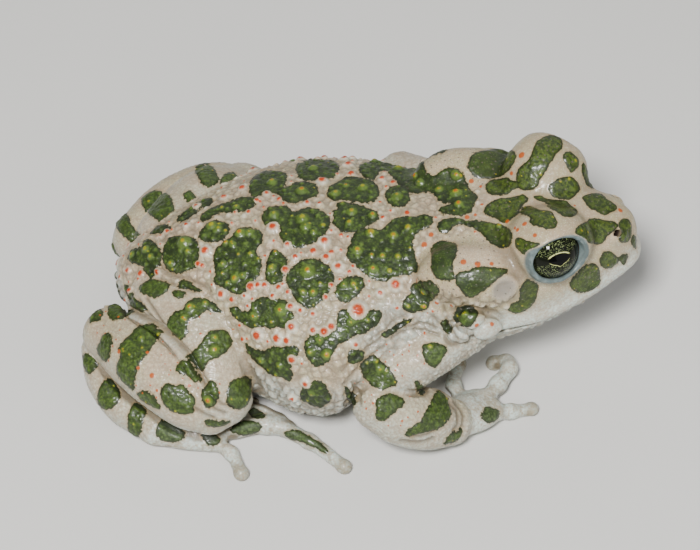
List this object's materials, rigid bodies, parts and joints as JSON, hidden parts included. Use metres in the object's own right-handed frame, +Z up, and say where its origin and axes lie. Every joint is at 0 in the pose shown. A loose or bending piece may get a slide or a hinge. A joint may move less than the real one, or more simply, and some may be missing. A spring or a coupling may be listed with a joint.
{
  "type": "european green toad model",
  "caption": "Life-size still model of a european green toad sitting alert, warty, with folded legs and a raised head.",
  "frame": {"origin": "on the floor, in the middle of the flat under the belly", "axes": "+X along the body towards the snout, +Y to the toad's left, +Z up"},
  "size_m": [0.0865, 0.0615, 0.0388],
  "materials": {
    "skin": "moist warty skin, pale pinkish beige with dark green blotches and red-tipped warts, satin with small wet highlights",
    "eye": "wet gloss, dark iris flecked yellow-green with a gold rim round a horizontal pupil"
  },
  "bodies": {
    "root": {"torso": "skin", "head": "skin", "lower_jaw": "skin", "eye_left": "eye", "eye_right": "eye", "upper_arm_left": "skin", "upper_arm_right": "skin", "forearm_left": "skin", "forearm_right": "skin", "hand_left": "skin", "hand_right": "skin", "thigh_left": "skin", "thigh_right": "skin", "shank_left": "skin", "shank_right": "skin", "tarsus_left": "skin", "tarsus_right": "skin", "foot_left": "skin", "foot_right": "skin"}
  },
  "joints": []
}
